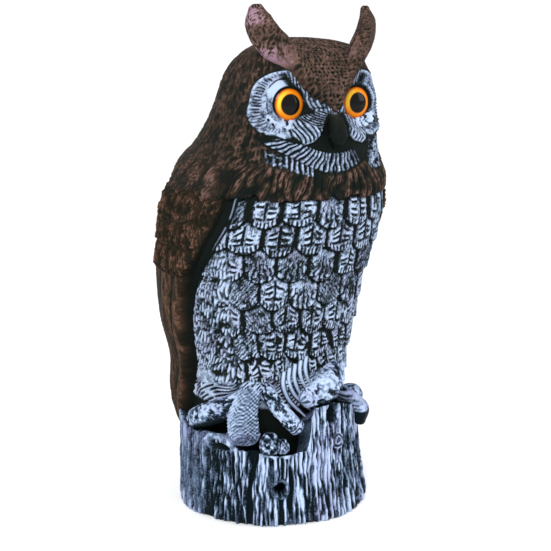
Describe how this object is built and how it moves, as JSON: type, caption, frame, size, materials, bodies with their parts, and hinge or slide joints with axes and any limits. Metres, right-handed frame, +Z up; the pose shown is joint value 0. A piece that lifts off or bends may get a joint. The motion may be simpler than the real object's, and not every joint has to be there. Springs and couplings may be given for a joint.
{
  "type": "owl decoy",
  "caption": "Upright horned owl on a broken tree stump, a hollow moulded garden decoy with feather relief, ear tufts, folded wings and glossy set-in eyes.",
  "frame": {"origin": "centre of the stump's flat underside, on the ground", "axes": "+Z up through the stump to the crown, -Y the way the owl looks, +X towards the owl's left wing"},
  "size_m": [0.1816, 0.2039, 0.4059],
  "materials": {
    "painted_shell": "dark moulded plastic, brown on head, back and wings, pale lavender-blue dry brushing on face, breast and stump",
    "eye": "glossy orange iris round a black pupil"
  },
  "bodies": {
    "root": {"owl_body": "painted_shell", "eye_right": "eye", "eye_left": "eye"}
  },
  "joints": []
}
